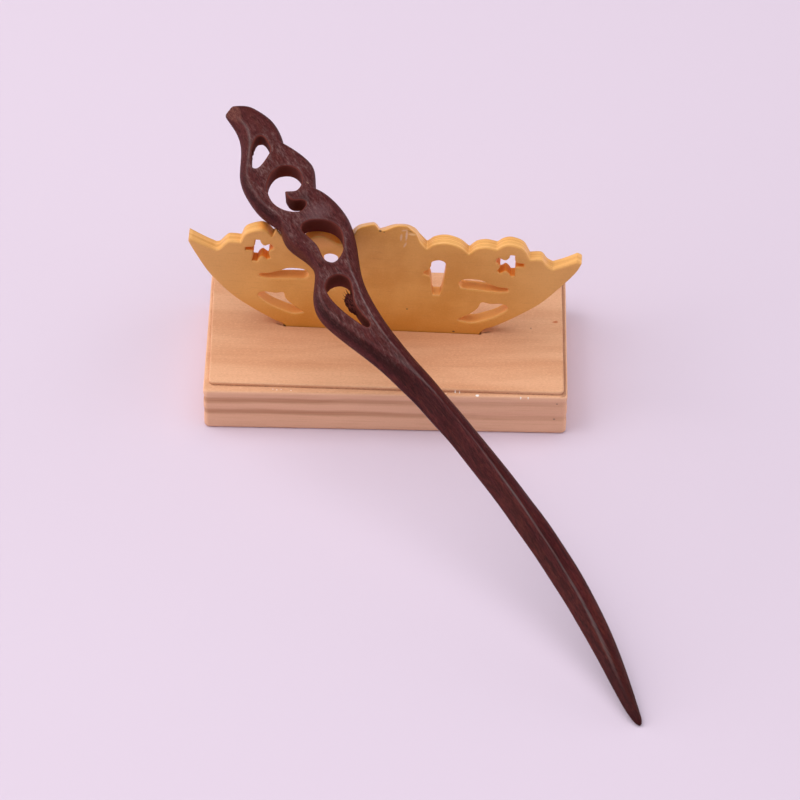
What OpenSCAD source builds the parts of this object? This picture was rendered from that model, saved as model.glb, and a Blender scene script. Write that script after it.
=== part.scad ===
// Carved wooden hair stick, laid across its display stand.
// Origin: middle of the underside of the stand's block. X runs along the block, Y to the back, Z up.

/* [Stand block] */
// Length of the block, side to side
base_w = 84; // [78:0.5:90]
// Depth of the block, front to back
base_d = 41.2; // [38:0.1:44]
// Height of the block up to its ledge
base_h = 11.9; // [10:0.1:13]
// Height of the raised field above the ledge
field_h = 1; // [0.4:0.1:1.6]
// Radius of the block's upright corners
corner_r = 1.2; // [0.4:0.1:2.5]

/* [Stand plaque] */
// Thickness of the plaque
plaque_t = 3.3; // [2.4:0.1:3.6]
// Turn of the plaque in its slot, seen from above
plaque_yaw = -1.95; // [-4:0.05:0]
// Lean of the plaque in its own plane, right side down
plaque_roll = 1.6; // [0:0.1:2.4]
// Place of the plaque's front face, back from the middle of the block
plaque_y = -0.3; // [-2:0.05:3]
// How deep the plaque's foot stands in the block
foot_depth = 4.3; // [2.5:0.1:6]
// Clearance between the plaque's foot and its slot, each side
slot_gap = 0.15; // [0.1:0.05:0.3]

/* [Hair stick] */
// Length from the point to the tip of the carved head
stick_l = 174.3; // [168:0.1:180]
// Thickness of the carved head
stick_t = 6.2; // [5.4:0.1:6.8]
// Place of the stick's point, right of the block's middle
tip_x = 56.9; // [50:0.1:64]
// Place of the stick's point, in front of the block's middle
tip_y = -108.25; // [-112:0.05:-104]
// Turn of the stick round its own plane's normal
stick_turn = 122.8; // [121:0.1:124]
// Height of the point's middle above the surface
tip_z = 0.45; // [0.4:0.05:0.8]
// Air left between the stick and the plaque that it lies on
rest_gap = 0.1; // [0.05:0.05:0.3]

/* [Hidden] */
// Overshoot of every cut
margin = 1;

// Stand block: the field's four corners, each set in from the block's own corner.
field_insets = [[1.3, 2.1], [0.9, 0.8], [1.0, 1.0], [0.6, 1.0]];
arc_steps = 6;
slot_x = [-24.25, 21.95];

// Stand plaque, in its own plane: u to the right of its middle, h up from the block's top.
// The last column is 1 where the outline has a sharp corner.
plaque_mid = -1.3;
curve_steps = 3;
plaque_outline = [
    [-20.6, -7.0, 1], [-22.4, -1.0, 0], [-25.7, 1.2, 0], [-30.5, 4.5, 0], [-35.2, 8.4, 0],
    [-40.0, 14.2, 0],
    [-43.2, 20.0, 0], [-45.2, 24.3, 1], [-45.1, 25.4, 1], [-38.9, 22.3, 1], [-38.0, 22.7, 0],
    [-36.4, 24.8, 0], [-35.2, 25.2, 0], [-33.2, 25.1, 1], [-32.0, 27.9, 0], [-28.8, 29.4, 0],
    [-26.0, 28.2, 0], [-26.2, 26.2, 1], [-23.9, 27.0, 0], [-21.2, 26.4, 0], [-19.2, 25.6, 1],
    [-17.6, 27.2, 0], [-15.2, 27.7, 0], [-12.3, 26.8, 0], [-9.8, 25.9, 1], [-9.0, 27.2, 0],
    [-7.8, 28.5, 0], [-6.6, 29.8, 0], [-5.3, 30.5, 0], [-3.2, 31.1, 0], [-2.3, 30.7, 0],
    [-1.5, 29.4, 1], [-0.3, 29.9, 0], [1.2, 30.7, 0], [2.7, 31.1, 0], [4.6, 31.1, 0],
    [5.8, 30.7, 0], [6.8, 30.0, 0], [7.8, 28.6, 0], [9.5, 26.6, 1], [11.3, 28.2, 0],
    [14.0, 28.8, 0], [17.0, 27.8, 0], [19.2, 25.8, 1], [20.9, 27.6, 0], [23.1, 28.2, 0],
    [25.5, 27.7, 1], [27.0, 29.0, 0], [28.9, 29.4, 0], [31.6, 28.2, 0], [33.2, 25.1, 1],
    [35.0, 25.4, 0], [36.1, 25.1, 0], [37.2, 23.5, 0], [38.6, 22.6, 1], [42.0, 24.3, 0],
    [44.0, 25.4, 1], [45.1, 24.7, 1], [44.0, 22.0, 0], [41.5, 18.1, 0],
    [36.5, 11.5, 0], [30.8, 6.5, 0], [26.3, 3.2, 0], [23.2, 1.0, 0],
    [21.2, -7.0, 1]
];

// Leaves and drop, drawn on the right half of the plaque. The left half is its mirror but for the
// lower leaf, which is cut a little lower there.
upper_leaf = [
    [17.4, 16.3, 0], [18.6, 17.7, 0], [22.0, 17.8, 0], [24.6, 16.6, 0], [26.6, 15.8, 0],
    [28.6, 15.6, 0], [28.6, 14.6, 0], [26.0, 14.3, 0], [21.0, 14.7, 0], [18.2, 14.9, 0]
];
right_lower_leaf = [
    [17.5, 4.6, 1], [20.4, 6.8, 0], [22.0, 8.6, 0], [22.9, 10.6, 0], [25.0, 10.3, 0],
    [27.6, 10.5, 0], [29.0, 9.2, 0], [26.6, 6.7, 0], [23.8, 5.1, 0], [20.8, 4.0, 0]
];
left_lower_leaf = [
    [18.3, 3.9, 1], [21.1, 6.3, 0], [22.6, 8.1, 0], [23.2, 9.9, 0], [25.0, 9.6, 0],
    [27.6, 9.8, 0], [29.0, 8.7, 0], [26.6, 6.2, 0], [23.8, 4.6, 0], [20.8, 3.5, 0]
];
drop = [
    [12.3, 23.2, 0], [13.6, 22.8, 0], [14.1, 21.7, 0], [14.0, 19.5, 0], [13.7, 16.0, 0],
    [13.3, 13.2, 0], [13.0, 12.15, 1], [11.4, 12.1, 1], [11.1, 13.4, 0], [10.9, 16.0, 0],
    [10.5, 17.9, 0], [9.1, 18.6, 0], [9.3, 19.4, 0], [10.3, 20.1, 0], [10.7, 21.2, 0],
    [10.9, 22.5, 0]
];
// The pierced stars, each with five uneven arms: from the upper arm round to the right
left_star = [
    [-29.8, 26.1, 1], [-28.75, 26.15, 1], [-28.45, 25.2, 0], [-27.7, 24.45, 0], [-26.3, 25.05, 1],
    [-25.65, 24.3, 0], [-25.85, 23.5, 0], [-26.7, 22.5, 0], [-26.3, 20.6, 1], [-27.05, 20.2, 1],
    [-28.1, 21.05, 0], [-28.9, 20.5, 0], [-29.4, 19.4, 1], [-30.5, 19.5, 1], [-30.2, 21.4, 0],
    [-30.35, 22.6, 0], [-32.05, 22.75, 1], [-32.05, 23.65, 1], [-30.3, 23.9, 0], [-29.8, 24.8, 0]
];
right_star = [
    [28.7, 26.2, 1], [29.8, 26.15, 1], [29.8, 24.9, 0], [30.3, 23.95, 0], [32.0, 23.75, 1],
    [31.95, 22.8, 1], [30.3, 22.6, 0], [30.0, 21.4, 0], [30.05, 19.7, 1], [29.1, 19.6, 1],
    [28.6, 20.5, 0], [27.8, 21.1, 0], [27.0, 20.5, 0], [26.5, 20.3, 1], [25.9, 21.0, 1],
    [26.55, 22.5, 0], [25.7, 23.6, 0], [25.55, 24.5, 0], [26.1, 25.2, 1], [27.5, 24.5, 0],
    [28.4, 25.1, 0]
];

// Hair stick, in its own plane: x along it from the point, y to its left, z out of the front.
// The rows of an edge are x, y, slope before x, slope after x.
left_edge = [
    [0, 0.3, 0.25, 0.25], [9, 0.35, -0.08, -0.08], [33.9, -1.5, -0.03, -0.03],
    [70.7, -0.6, 0.07, 0.07], [93.1, 2.45, 0.2, 0.2], [108, 6.35, 0.35, 0.35],
    [118.2, 9.15, 0.05, 0.05], [124.5, 7.15, -0.72, -0.72], [130.2, 4, 0, 0],
    [138.1, 6.1, 0.05, 0.05], [142, 5.3, -0.35, 0.45], [149.8, 7.75, 0.06, 0.06],
    [157.3, 6.95, -0.38, -0.38], [164.5, 2.55, -0.52, -0.52], [169.3, 1.3, -0.05, -0.05],
    [173.5, 1.3, 0, -2], [174.5, -1.2, -3, -3]
];
right_edge = [
    [0, -0.95, -0.31, -0.31], [9, -3.6, -0.27, -0.27], [23.4, -6.75, -0.16, -0.16],
    [45.8, -8.4, 0, 0], [70.7, -7, 0.09, 0.09], [93.1, -4.6, 0.13, 0.13],
    [111, -3, 0, 0], [120.5, -3.85, -0.22, -0.22], [129.4, -7.35, -0.4, -0.4],
    [137.4, -9.2, 0.03, 0.03], [146.2, -6.7, 0.65, -0.45], [152.1, -9.1, 0.05, 0.05],
    [160, -6.35, 0.55, -0.4], [165.3, -7.3, 0, 0], [170.8, -5.65, 0.5, 0.5],
    [174.5, -1.4, 2.6, 2.6]
];
// Half thickness along the stick, as a share of the head's: x, share
half_rows = [
    [0, 0.23], [2, 0.31], [9, 0.52], [20, 0.74], [35, 0.89], [50, 0.97], [70, 1],
    [150, 1], [160, 0.9], [168, 0.77], [173, 0.62], [174.5, 0.56]
];
// Width of the rounded slope inside each edge: x, width
left_slope = [
    [0, 8], [70, 6], [93, 4.6], [100, 3.9], [107, 2.6], [118, 2.2], [123.5, 1.4], [129.5, 1],
    [135.5, 1.1], [141.3, 1.4], [145.5, 2], [156.5, 1.8], [162.5, 2.2], [167.5, 2.6],
    [172.5, 1.5], [174.5, 1]
];
right_slope = [
    [0, 0.5], [9, 1.7], [20, 2.35], [45, 2.85], [60, 2.35], [75, 2], [90, 1.9], [112, 2.1],
    [120, 1.8], [124, 2.4], [129, 2.8], [133, 2], [141, 2], [148, 1.2], [158, 1.2],
    [161, 1.5], [172, 1.5], [174.5, 0.8]
];
// How full the slopes are, and the steps in which they rise from edge to ridge
crown = 1.5;
slope_steps = [0, 0.06, 0.25, 0.55, 1];
// The ridge between the slopes keeps this width, or less where the stick is narrow
ridge_w = 0.5;
ridge_share = 0.15;
right_share = 0.55;
// The point is rounded over this length, about this side line
nose_l = 1.6;
nose_y = -0.25;
end_cut = 0.12;

// The rows above are drawn at this length; stick_l scales them
drawn_l = 174.5;
stick_k = stick_l / drawn_l;

// Stations of the loft: fine at both ends and along the carved head, wide on the shaft.
stations = concat(
    [0.08, 0.3, 0.7, 1.2, 2, 3.5, 6, 9, 13, 18, 24, 31, 39, 48, 58, 69, 78, 86, 93, 99, 104, 108],
    [for (x = [110.5:2:138.5]) x], [140.3, 142, 143.7, 144.9, 146.2, 147.5],
    [for (x = [149.4:2:157.4]) x], [158.8, 160, 161.2],
    [for (x = [163:2:171]) x], [172.4, 173.5, 174.1, drawn_l - end_cut]
);

// The four openings of the head, on its front face: x, y, 1 at a sharp corner
openings = [
    [[156.8, 2.2, 0], [157.8, 3.4, 0], [159.8, 2.6, 0], [162, 0.7, 0], [163.9, -1.5, 0],
     [163.6, -2.8, 0], [161.8, -3.1, 0], [159.6, -2.6, 0], [158.4, -1.1, 0], [157.5, 0.7, 0]],
    [[142.6, 0, 0], [144.1, 2.1, 0], [146.3, 3.5, 0], [148.7, 3.9, 0], [151.7, 3.1, 0],
     [153.9, 0.9, 0], [154.7, -1.8, 0], [153.5, -4.3, 0], [151.2, -5.3, 0], [148.7, -4.5, 0],
     [147.5, -2.3, 0], [148.7, 0.1, 1], [147, 0.2, 0], [145.7, -0.5, 0], [144.8, -2, 0],
     [143.7, -2.6, 0], [142.8, -1.6, 0]],
    [[127.6, -0.6, 0], [128.4, 0.9, 0], [130, 1.3, 0], [133, 0.9, 0], [135.8, 1.4, 0],
     [137.8, 1.9, 0], [139.3, 1.3, 0], [139.5, -0.6, 0], [138.3, -3, 0], [136.3, -4.9, 0],
     [133.8, -5.6, 0], [131.3, -4.9, 0], [128.9, -3.3, 0]],
    [[109.8, 1.5, 0], [110.8, 2.4, 0], [113.7, 3.5, 0], [117.1, 4.5, 0], [120.4, 5.1, 0],
     [123.3, 4.7, 0], [124.7, 2.7, 0], [124.2, 0.4, 0], [122.2, -0.8, 0], [119.7, -0.2, 0],
     [116.8, 1, 0], [113.5, 1.1, 0], [110.7, 0.7, 0]]
];

// Where the stick lies on the plaque's scalloped top, and the lean that brings it there
field_z = base_h + field_h;
rest_on = [-15.2, 27.75];
rest_x = plaque_mid + rest_on[0] * cos(plaque_roll) + rest_on[1] * sin(plaque_roll);
rest_h = rest_on[1] * cos(plaque_roll) - rest_on[0] * sin(plaque_roll);
rest_run = plaque_y + rest_x * tan(plaque_yaw) - tip_y;
rest_rise = field_z + rest_h - tip_z;
stick_lean = atan(rest_rise / rest_run)
    + asin((stick_t / 2 + rest_gap) / norm([rest_run, rest_rise]));

function unit(v) = v / norm(v);

// Corners of a polygon, each rounded with radius r
function rounded(corners, r) = [
    for (i = [0:len(corners) - 1])
        let (
            here = corners[i],
            back = unit(corners[(i + len(corners) - 1) % len(corners)] - here),
            on = unit(corners[(i + 1) % len(corners)] - here),
            half = acos(back * on) / 2,
            centre = here + unit(back + on) * r / sin(half),
            first = unit(here + back * r / tan(half) - centre),
            last = unit(here + on * r / tan(half) - centre),
            sweep = 180 - 2 * half
        )
        for (k = [0:arc_steps])
            centre + r * (first * sin(sweep * (1 - k / arc_steps)) + last * sin(sweep * k / arc_steps))
                / sin(sweep)
];

// Point at share t of a cubic from a to b that leaves along da and arrives along db
function cubic(a, b, da, db, t) =
    (2 * t ^ 3 - 3 * t ^ 2 + 1) * a + (t ^ 3 - 2 * t ^ 2 + t) * da
    + (3 * t ^ 2 - 2 * t ^ 3) * b + (t ^ 3 - t ^ 2) * db;

// Closed smooth outline through rows of x, y, corner
function closed_curve(rows, steps) =
    let (n = len(rows), p = [for (row = rows) [row[0], row[1]]])
    [
        for (i = [0:n - 1])
            let (
                a = p[i],
                b = p[(i + 1) % n],
                da = rows[i][2] == 1 ? b - a : (b - p[(i + n - 1) % n]) / 2,
                db = rows[(i + 1) % n][2] == 1 ? b - a : (p[(i + 2) % n] - a) / 2
            )
            for (k = [0:steps - 1]) cubic(a, b, da, db, k / steps)
    ];

// Height of an edge at x, from rows of x, y, slope before, slope after
function edge_at(rows, x) = [
    for (i = [0:len(rows) - 2])
        if (x >= rows[i][0] && (x < rows[i + 1][0] || i == len(rows) - 2))
            let (w = rows[i + 1][0] - rows[i][0])
            cubic(rows[i][1], rows[i + 1][1], w * rows[i][3], w * rows[i + 1][2], (x - rows[i][0]) / w)
][0];

// Share of the full width and thickness that the rounded point has at x
function nose(x) = x < nose_l ? sqrt(1 - (1 - x / nose_l) ^ 2) : 1;

// Closed section of the stick at x: left edge, over the front, right edge, round the back
function section(x) =
    let (
        left = nose_y + (edge_at(left_edge, x) - nose_y) * nose(x),
        right = nose_y + (edge_at(right_edge, x) - nose_y) * nose(x),
        high = stick_t / 2 * lookup(x, half_rows) * nose(x),
        flat = min(ridge_w, (left - right) * ridge_share),
        r = min(lookup(x, right_slope) * nose(x), (left - right - flat) * right_share),
        l = min(lookup(x, left_slope), left - right - flat - r),
        rise = [for (p = slope_steps) high * sqrt(1 - (1 - p) ^ crown)],
        n = len(slope_steps) - 1
    )
    [for (yz = concat(
        [for (k = [0:n]) [left - l * slope_steps[k], rise[k]]],
        [for (k = [n:-1:0]) [right + r * slope_steps[k], rise[k]]],
        [for (k = [1:n]) [right + r * slope_steps[k], -rise[k]]],
        [for (k = [n:-1:1]) [left - l * slope_steps[k], -rise[k]]]
    )) [x * stick_k, yz[0], yz[1]]];

// Solid skin over a row of closed sections with the same number of points
module loft(sections) {
    n = len(sections[0]);
    last = len(sections) - 1;
    sides = [
        for (i = [0:last - 1], k = [0:n - 1])
            let (a = i * n + k, b = i * n + (k + 1) % n)
            each [[a, a + n, b + n], [a, b + n, b]]
    ];
    ends = [[for (k = [0:n - 1]) k], [for (k = [n - 1:-1:0]) last * n + k]];
    polyhedron([for (ring = sections) each ring], concat(sides, ends));
}

module hair_stick() {
    color([0.23, 0.13, 0.11])
        translate([tip_x, tip_y, tip_z])
            rotate([stick_lean, 0, 0])
                rotate([0, 0, stick_turn])
                    difference() {
                        loft([for (x = stations) section(x)]);
                        for (opening = openings)
                            linear_extrude(stick_t + 2 * margin, center = true)
                                scale(stick_k) polygon(closed_curve(opening, curve_steps));
                    }
}

// The raised field stands in from the block's edge by a ledge that is wider on the left
module stand_base() {
    signs = [[-1, -1], [1, -1], [1, 1], [-1, 1]];
    half = [base_w, base_d] / 2;
    block = [for (s = signs) [s[0] * half[0], s[1] * half[1]]];
    field = [for (i = [0:3]) [
        signs[i][0] * (half[0] - field_insets[i][0]), signs[i][1] * (half[1] - field_insets[i][1])
    ]];
    color([0.85, 0.66, 0.47])
        difference() {
            union() {
                linear_extrude(base_h) polygon(rounded(block, corner_r));
                linear_extrude(field_z) polygon(rounded(field, corner_r));
            }
            in_slot()
                translate([slot_x[0], -slot_gap, -foot_depth - slot_gap])
                    cube([slot_x[1] - slot_x[0], plaque_t + 2 * slot_gap, foot_depth + margin]);
        }
}

// Moves what is drawn in the plaque's upright plane to its place on the block
module in_slot() {
    translate([0, plaque_y, field_z]) rotate([0, 0, plaque_yaw]) children();
}

module pierced(rows) {
    for (opening = rows) polygon(closed_curve(opening, curve_steps));
}

module piercings_2d() {
    pierced([upper_leaf, right_lower_leaf, drop, left_star, right_star]);
    mirror([1, 0]) pierced([upper_leaf, left_lower_leaf, drop]);
}

module stand_plaque() {
    color([0.93, 0.75, 0.42])
        in_slot()
            difference() {
                translate([plaque_mid, plaque_t, 0])
                    rotate([0, plaque_roll, 0])
                        rotate([90, 0, 0])
                            linear_extrude(plaque_t)
                                difference() {
                                    polygon(closed_curve(plaque_outline, curve_steps));
                                    piercings_2d();
                                }
                translate([-base_w / 2, -margin, -foot_depth - base_h])
                    cube([base_w, plaque_t + 2 * margin, base_h]);
            }
}

stand_base();
stand_plaque();
hair_stick();
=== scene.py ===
"""Looks of a carved hair stick that lies across its small display stand.

The three pieces are shaped here as a carver would describe them, in millimetres, and stand in
for the plainer solids of the frame: a dark stick, a honey-coloured plaque and a pale block.
"""
import math

import bpy
import numpy as np
from mathutils import Matrix, Vector
from mathutils.geometry import delaunay_2d_cdt


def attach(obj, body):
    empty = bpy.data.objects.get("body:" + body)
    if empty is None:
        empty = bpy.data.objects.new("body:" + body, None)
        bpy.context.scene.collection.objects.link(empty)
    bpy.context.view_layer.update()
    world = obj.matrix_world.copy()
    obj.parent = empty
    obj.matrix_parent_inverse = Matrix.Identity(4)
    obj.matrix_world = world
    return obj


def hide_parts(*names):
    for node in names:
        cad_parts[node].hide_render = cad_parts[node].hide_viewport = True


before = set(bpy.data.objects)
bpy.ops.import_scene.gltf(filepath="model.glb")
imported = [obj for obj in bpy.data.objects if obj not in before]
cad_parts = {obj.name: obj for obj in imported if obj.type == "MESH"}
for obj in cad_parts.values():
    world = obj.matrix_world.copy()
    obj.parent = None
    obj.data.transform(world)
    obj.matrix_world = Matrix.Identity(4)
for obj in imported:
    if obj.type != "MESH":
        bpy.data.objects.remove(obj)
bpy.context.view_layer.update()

MM = 0.001
PICTURE_PIXELS = 800
# Noise that makes the border of a spot ragged
RAGGED_SCALE = (3.0, 3.0, 3.0)
RAGGED_DETAIL = 3.0
rng = np.random.default_rng(7)


# Shader arithmetic

class Value:
    """One output of a shader node; Python arithmetic on it adds Math nodes."""

    def __init__(self, finish, socket):
        self.finish = finish
        self.socket = socket

    def math(self, operation, *values):
        return self.finish.node("ShaderNodeMath", {"operation": operation}, dict(enumerate(values)))

    def __add__(self, other):
        return self.math("ADD", self, other)

    def __sub__(self, other):
        return self.math("SUBTRACT", self, other)

    def __rsub__(self, other):
        return self.math("SUBTRACT", other, self)

    def __mul__(self, other):
        return self.math("MULTIPLY", self, other)

    __radd__ = __add__
    __rmul__ = __mul__

    def above(self, low, high):
        """0 below low, 1 above high and a smooth rise between; falls where low is the larger."""
        return self.finish.node(
            "ShaderNodeMapRange", {"interpolation_type": "SMOOTHSTEP"},
            {"Value": self, "From Min": low, "From Max": high},
        )


class Network:
    """Shader nodes that end in one surface or background node, built up from plain calls."""

    def __init__(self, tree, last):
        self.tree = tree
        self.last = tree.nodes[last]

    def node(self, kind, settings=None, sockets=None, output=0):
        """Adds a node: its settings first, then the values or links of its sockets."""
        made = self.tree.nodes.new(kind)
        for key, setting in (settings or {}).items():
            setattr(made, key, setting)
        for key, given in (sockets or {}).items():
            self.feed(made.inputs[key], given)
        return Value(self, made.outputs[output])

    def feed(self, socket, given):
        if isinstance(given, Value):
            self.tree.links.new(given.socket, socket)
        elif socket.type == "RGBA":
            socket.default_value = (*given, 1.0)
        else:
            socket.default_value = given

    def set(self, **sockets):
        for name, given in sockets.items():
            self.feed(self.last.inputs[name.replace("_", " ")], given)

    def mix(self, share, first, second):
        """Colour between first and second."""
        return self.node("ShaderNodeMix", {"data_type": "RGBA"}, {0: share, 6: first, 7: second}, 2)

    def layered(self, colour, *layers):
        """The colour with layers laid over it in turn, each a share and a colour."""
        for share, tint in layers:
            colour = self.mix(share, colour, tint)
        return colour

    def along(self, vector, axis):
        """One part of a vector, by the name of its axis."""
        return self.node("ShaderNodeSeparateXYZ", {}, {0: vector}, axis)


class Finish(Network):
    """A material with one principled surface."""

    def __init__(self, name):
        self.material = bpy.data.materials.new(name)
        self.material.use_nodes = True
        super().__init__(self.material.node_tree, "Principled BSDF")
        self.drawn = self.node("ShaderNodeAttribute", {"attribute_name": "drawn_at"}, output="Vector")

    def at(self, axis):
        """Where the surface is on the drawing of its piece, along X, Y or Z in millimetres."""
        return self.along(self.drawn, axis)

    def mark(self, name):
        return self.node("ShaderNodeAttribute", {"attribute_name": name}, output="Fac")

    def noise(self, scale, detail=2.0, roughness=0.5, distortion=0.0):
        """Noise between 0 and 1; scale is how often it changes in a millimetre, each way."""
        place = self.node("ShaderNodeVectorMath", {"operation": "MULTIPLY"}, {0: self.drawn, 1: scale})
        return self.node(
            "ShaderNodeTexNoise", {},
            {"Vector": place, "Scale": 1.0, "Detail": detail, "Roughness": roughness,
             "Distortion": distortion},
        )

    def spot(self, at, sizes, turn=0.0, axis="Z", soft=0.6, ragged=0.0):
        """1 in the middle of an ellipsoid spot, 0 outside it, turned by degrees about one axis."""
        angles = [math.radians(turn) if name == axis else 0.0 for name in "XYZ"]
        local = self.node(
            "ShaderNodeMapping", {"vector_type": "TEXTURE"},
            {"Vector": self.drawn, "Location": at, "Rotation": angles, "Scale": sizes},
        )
        away = self.node("ShaderNodeVectorMath", {"operation": "LENGTH"}, {0: local}, "Value")
        if ragged:
            away = away + (self.noise(RAGGED_SCALE, RAGGED_DETAIL) - 0.5) * ragged
        return away.above(1.0, 1.0 - soft)

    def spots(self, axis, rows):
        """Several spots together, from rows of strength, place, sizes, turn, soft, ragged."""
        return sum(
            self.spot(at, sizes, turn, axis, soft, ragged) * strength
            for strength, at, sizes, turn, soft, ragged in rows
        )

    def bump(self, height, distance, strength=1.0):
        """Feeds the surface's normal with height, where 1 stands out by distance in millimetres."""
        normal = self.node(
            "ShaderNodeBump", {}, {"Height": height, "Distance": distance * MM, "Strength": strength}
        )
        self.set(Normal=normal)


# Small geometry helpers

def smoothstep(low, high, value):
    t = np.clip((value - low) / (high - low), 0.0, 1.0)
    return t * t * (3.0 - 2.0 * t)


def cubic(a, b, slope_a, slope_b, t):
    """Point at share t of a cubic from a to b with the given end slopes."""
    return ((2 * t**3 - 3 * t**2 + 1) * a + (t**3 - 2 * t**2 + t) * slope_a
            + (3 * t**2 - 2 * t**3) * b + (t**3 - t**2) * slope_b)


def closed_curve(rows, steps):
    """Closed smooth outline through rows of x, y, corner; corner is 1 where it turns sharply."""
    count = len(rows)
    points = np.array([row[:2] for row in rows], float)
    outline = []
    for i in range(count):
        a, b = points[i], points[(i + 1) % count]
        slope_a = b - a if rows[i][2] else (b - points[i - 1]) / 2
        slope_b = b - a if rows[(i + 1) % count][2] else (points[(i + 2) % count] - a) / 2
        outline.extend(cubic(a, b, slope_a, slope_b, k / steps) for k in range(steps))
    return np.array(outline)


def through(rows, x):
    """Smooth curve through rows of x, value, flat past both ends."""
    xs, values = np.array(rows, float).T
    slopes = np.gradient(values, xs)
    slopes[[0, -1]] = 0.0
    x = np.clip(x, xs[0], xs[-1])
    i = np.clip(np.searchsorted(xs, x, side="right") - 1, 0, len(xs) - 2)
    width = xs[i + 1] - xs[i]
    return cubic(values[i], values[i + 1], width * slopes[i], width * slopes[i + 1], (x - xs[i]) / width)


def round_and(a, b, radius):
    """What lies inside both a and b, with their shared edge rounded."""
    outside = np.hypot(np.maximum(a + radius, 0.0), np.maximum(b + radius, 0.0))
    return np.minimum(np.maximum(a, b), -radius) + outside


def smooth_or(a, b, reach):
    """What lies inside a or b, blended over reach."""
    h = np.clip(0.5 + 0.5 * (b - a) / reach, 0.0, 1.0)
    return b + (a - b) * h - reach * h * (1.0 - h)


def stretches(outline):
    """The ends of each straight stretch of a closed outline."""
    return zip(outline, np.roll(outline, -1, axis=0))


def steps_of(outline, spacing):
    """Into how many steps each stretch of an outline is divided."""
    return [max(1, round(np.linalg.norm(b - a) / spacing)) for a, b in stretches(outline)]


def divided(outline, steps):
    """The outline with each of its stretches divided."""
    return np.concatenate([
        a + (b - a) * (np.arange(count) / count)[:, None]
        for (a, b), count in zip(stretches(outline), steps)
    ])


def rim_distance(outline, spots):
    """Distance of spots to an outline, and which of them lie inside it."""
    closest = np.full(len(spots), np.inf)
    inside = np.zeros(len(spots), bool)
    for a, b in stretches(outline):
        along = b - a
        t = np.clip((spots - a) @ along / (along @ along), 0.0, 1.0)
        closest = np.minimum(closest, ((spots - a - t[:, None] * along)**2).sum(-1))
        if a[1] != b[1]:
            crosses = (a[1] > spots[:, 1]) != (b[1] > spots[:, 1])
            at = a[0] + along[0] * (spots[:, 1] - a[1]) / along[1]
            inside ^= crosses & (spots[:, 0] < at)
    return np.sqrt(closest), inside


class Skin:
    """Points and faces of a piece, in millimetres on its drawing."""

    def __init__(self):
        self.points = np.empty((0, 3))
        self.faces = []

    def add(self, points, faces=()):
        """Adds points with the faces between them, and gives the numbers of the points."""
        first = len(self.points)
        self.points = np.concatenate([self.points, points])
        self.faces += (np.array(faces, int) + first).tolist()
        return np.arange(first, len(self.points))

    def join(self, rows):
        """Adds the quads between each closed row of points and the next."""
        for first, second in zip(rows, rows[1:]):
            corners = [first, np.roll(first, -1), np.roll(second, -1), second]
            self.faces += np.stack(corners, axis=-1).tolist()


def piece_from(name, skin, placement, material, node, marks=None):
    """A shown piece from its skin, moved by placement, with marks for its finish."""
    placed = skin.points @ np.array(placement.to_3x3()).T + np.array(placement.translation)
    mesh = bpy.data.meshes.new(name)
    mesh.from_pydata((placed * MM).tolist(), [], skin.faces)
    drawn = mesh.attributes.new("drawn_at", "FLOAT_VECTOR", "POINT")
    drawn.data.foreach_set("vector", skin.points.astype(np.float32).ravel())
    for mark, values in (marks or {}).items():
        layer = mesh.attributes.new(mark, "FLOAT", "POINT")
        layer.data.foreach_set("value", np.asarray(values, np.float32))
    mesh.materials.append(material)
    piece = bpy.data.objects.new(name, mesh)
    bpy.context.scene.collection.objects.link(piece)
    mesh.shade_smooth()
    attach(piece, "root")
    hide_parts(node)
    return piece


# The hair stick: x along it from the point, y to its left, z out of its front

# The stick's length, and the length that the rows below are drawn at
STICK_LENGTH = 174.3
DRAWN_LENGTH = 174.5
# Where its point lies, how it is turned, and how far it leans back
POINT_AT = (56.9, -108.25, 0.45)
TURN = math.radians(122.8)
LEAN = math.radians(22.1)

# Each edge is one or more curves, rows of x, y, slope; where two cross there is a carved notch.
LEFT_CURVES = (
    ((0, 0.3, 0.25), (9, 0.35, -0.08), (33.9, -1.5, -0.03), (70.7, -0.6, 0.07), (93.1, 2.45, 0.2),
     (108, 6.35, 0.35), (118.2, 9.15, 0.05), (124.5, 7.15, -0.72), (130.2, 4, 0), (138.1, 6.1, 0.05),
     (142, 5.3, -0.35)),
    ((142, 5.3, 0.45), (149.8, 7.75, 0.06), (157.3, 6.95, -0.38), (164.5, 2.55, -0.52),
     (169.3, 1.3, -0.05), (173.5, 1.3, 0)),
)
RIGHT_CURVES = (
    ((0, -0.95, -0.31), (9, -3.6, -0.27), (23.4, -6.75, -0.16), (45.8, -8.4, 0), (70.7, -7, 0.09),
     (93.1, -4.6, 0.13), (111, -3, 0), (120.5, -3.85, -0.22), (129.4, -7.35, -0.4),
     (137.4, -9.2, 0.03), (146.2, -6.7, 0.65)),
    ((146.2, -6.7, -0.45), (152.1, -9.1, 0.05), (160, -6.35, 0.55)),
    ((160, -6.35, -0.4), (165.3, -7.3, 0), (170.8, -5.65, 0.5), (174.5, -1.4, 2.6)),
)
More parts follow.
